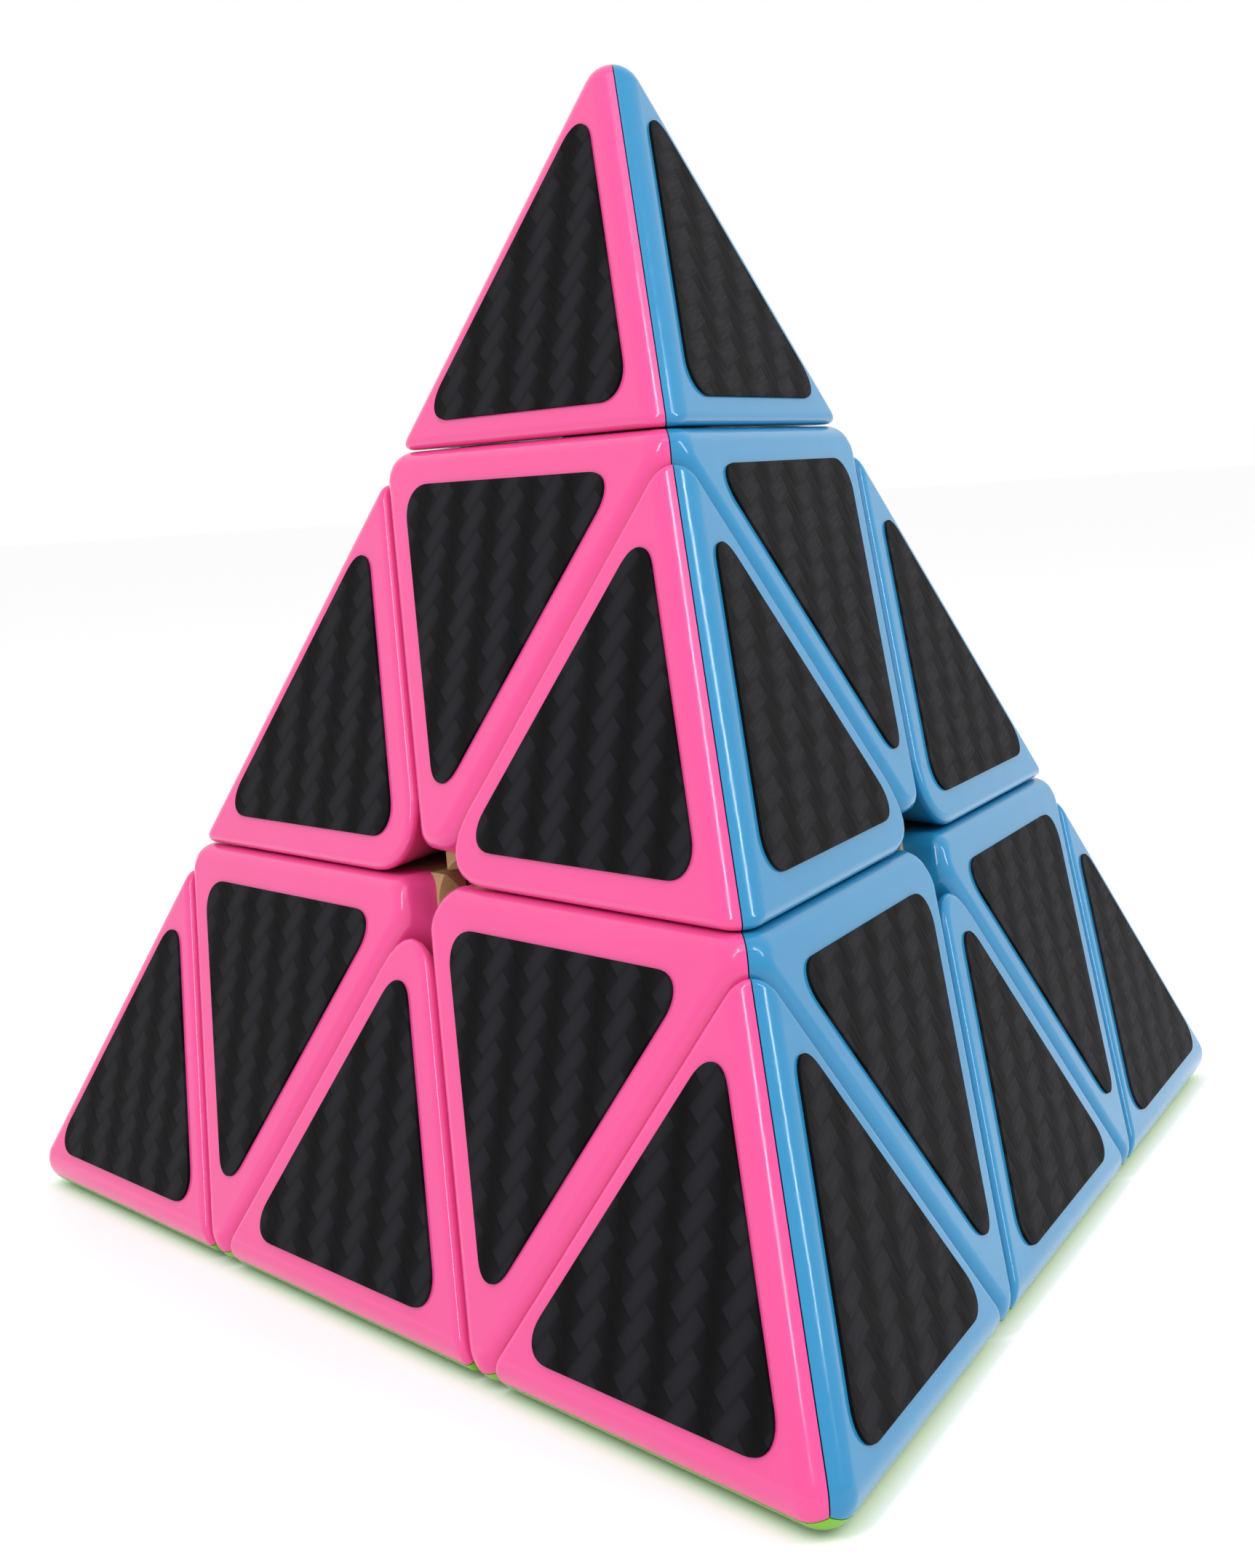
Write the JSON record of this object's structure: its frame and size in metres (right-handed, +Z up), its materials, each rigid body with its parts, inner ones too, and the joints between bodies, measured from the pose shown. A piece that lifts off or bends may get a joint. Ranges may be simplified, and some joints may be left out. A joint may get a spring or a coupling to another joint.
{
  "type": "pyramid twisty puzzle",
  "caption": "Tetrahedral twist puzzle with turning layers and tips, coloured plastic shells and black woven-look stickers.",
  "frame": {"origin": "centre of the core's ball, where the four turning axes meet", "axes": "+Z up through the top tip; -Y towards the front tip; the base lies flat, parallel to XY"},
  "size_m": [0.0988, 0.0857, 0.081],
  "materials": {
    "pink_plastic": "glossy moulded ABS",
    "blue_plastic": "glossy moulded ABS",
    "green_plastic": "glossy moulded ABS",
    "yellow_plastic": "glossy moulded ABS",
    "ivory_plastic": "moulded ABS, undyed",
    "black_film": "satin PVC film with a woven print",
    "steel": "plated steel"
  },
  "bodies": {
    "core": {"core": "ivory_plastic", "screw_sets": "steel"},
    "axial_top": {"axial_top_yellow": "yellow_plastic", "axial_top_pink": "pink_plastic", "axial_top_blue": "blue_plastic", "axial_top_hub": "ivory_plastic", "axial_top_stickers": "black_film"},
    "tip_top": {"tip_top_yellow": "yellow_plastic", "tip_top_pink": "pink_plastic", "tip_top_blue": "blue_plastic", "tip_top_hub": "ivory_plastic", "tip_top_stickers": "black_film"},
    "axial_front": {"axial_front_green": "green_plastic", "axial_front_blue": "blue_plastic", "axial_front_pink": "pink_plastic", "axial_front_hub": "ivory_plastic", "axial_front_stickers": "black_film"},
    "tip_front": {"tip_front_green": "green_plastic", "tip_front_blue": "blue_plastic", "tip_front_pink": "pink_plastic", "tip_front_hub": "ivory_plastic", "tip_front_stickers": "black_film"},
    "axial_left": {"axial_left_green": "green_plastic", "axial_left_pink": "pink_plastic", "axial_left_yellow": "yellow_plastic", "axial_left_hub": "ivory_plastic", "axial_left_stickers": "black_film"},
    "tip_left": {"tip_left_green": "green_plastic", "tip_left_pink": "pink_plastic", "tip_left_yellow": "yellow_plastic", "tip_left_hub": "ivory_plastic", "tip_left_stickers": "black_film"},
    "axial_right": {"axial_right_green": "green_plastic", "axial_right_yellow": "yellow_plastic", "axial_right_blue": "blue_plastic", "axial_right_hub": "ivory_plastic", "axial_right_stickers": "black_film"},
    "tip_right": {"tip_right_green": "green_plastic", "tip_right_yellow": "yellow_plastic", "tip_right_blue": "blue_plastic", "tip_right_hub": "ivory_plastic", "tip_right_stickers": "black_film"},
    "edge_top_front": {"edge_top_front_blue": "blue_plastic", "edge_top_front_pink": "pink_plastic", "edge_top_front_stickers": "black_film"},
    "edge_top_left": {"edge_top_left_pink": "pink_plastic", "edge_top_left_yellow": "yellow_plastic", "edge_top_left_stickers": "black_film"},
    "edge_top_right": {"edge_top_right_yellow": "yellow_plastic", "edge_top_right_blue": "blue_plastic", "edge_top_right_stickers": "black_film"},
    "edge_front_left": {"edge_front_left_green": "green_plastic", "edge_front_left_pink": "pink_plastic", "edge_front_left_stickers": "black_film"},
    "edge_front_right": {"edge_front_right_blue": "blue_plastic", "edge_front_right_green": "green_plastic", "edge_front_right_stickers": "black_film"},
    "edge_left_right": {"edge_left_right_green": "green_plastic", "edge_left_right_yellow": "yellow_plastic", "edge_left_right_stickers": "black_film"}
  },
  "joints": [
    {"name": "turn_top", "type": "hinge", "parent": "core", "child": "axial_top", "pos_m": [0, 0, 0], "axis": [0, 0, 1], "range_deg": [-120, 240]},
    {"name": "turn_front", "type": "hinge", "parent": "core", "child": "axial_front", "pos_m": [0, 0, 0], "axis": [0, -0.9428, -0.3333], "range_deg": [-120, 240]},
    {"name": "turn_left", "type": "hinge", "parent": "core", "child": "axial_left", "pos_m": [0, 0, 0], "axis": [-0.8165, 0.4714, -0.3333], "range_deg": [-120, 240]},
    {"name": "turn_right", "type": "hinge", "parent": "core", "child": "axial_right", "pos_m": [0, 0, 0], "axis": [0.8165, 0.4714, -0.3333], "range_deg": [-120, 240]},
    {"name": "twist_top", "type": "hinge", "parent": "axial_top", "child": "tip_top", "pos_m": [0, 0, 0], "axis": [0, 0, 1], "continuous": true},
    {"name": "twist_front", "type": "hinge", "parent": "axial_front", "child": "tip_front", "pos_m": [0, 0, 0], "axis": [0, -0.9428, -0.3333], "continuous": true},
    {"name": "twist_left", "type": "hinge", "parent": "axial_left", "child": "tip_left", "pos_m": [0, 0, 0], "axis": [-0.8165, 0.4714, -0.3333], "continuous": true},
    {"name": "twist_right", "type": "hinge", "parent": "axial_right", "child": "tip_right", "pos_m": [0, 0, 0], "axis": [0.8165, 0.4714, -0.3333], "continuous": true},
    {"name": "ride_top_front", "type": "hinge", "parent": "axial_top", "child": "edge_top_front", "pos_m": [0, 0, 0], "axis": [0, -0.9428, -0.3333], "range_deg": [-120, 240]},
    {"name": "ride_top_right", "type": "hinge", "parent": "axial_top", "child": "edge_top_right", "pos_m": [0, 0, 0], "axis": [0.8165, 0.4714, -0.3333], "range_deg": [-120, 240]},
    {"name": "ride_top_left", "type": "hinge", "parent": "axial_top", "child": "edge_top_left", "pos_m": [0, 0, 0], "axis": [-0.8165, 0.4714, -0.3333], "range_deg": [-120, 240]},
    {"name": "ride_front_right", "type": "hinge", "parent": "axial_right", "child": "edge_front_right", "pos_m": [0, 0, 0], "axis": [0, -0.9428, -0.3333], "range_deg": [-120, 240]},
    {"name": "ride_front_left", "type": "hinge", "parent": "axial_front", "child": "edge_front_left", "pos_m": [0, 0, 0], "axis": [-0.8165, 0.4714, -0.3333], "range_deg": [-120, 240]},
    {"name": "ride_left_right", "type": "hinge", "parent": "axial_left", "child": "edge_left_right", "pos_m": [0, 0, 0], "axis": [0.8165, 0.4714, -0.3333], "range_deg": [-120, 240]}
  ],
  "couplings": [
    {"joint": "ride_top_front", "follows": "turn_front", "ratio": 1},
    {"joint": "ride_top_right", "follows": "turn_right", "ratio": 1},
    {"joint": "ride_top_left", "follows": "turn_left", "ratio": 1},
    {"joint": "ride_front_right", "follows": "turn_front", "ratio": 1},
    {"joint": "ride_front_left", "follows": "turn_left", "ratio": 1},
    {"joint": "ride_left_right", "follows": "turn_right", "ratio": 1}
  ]
}
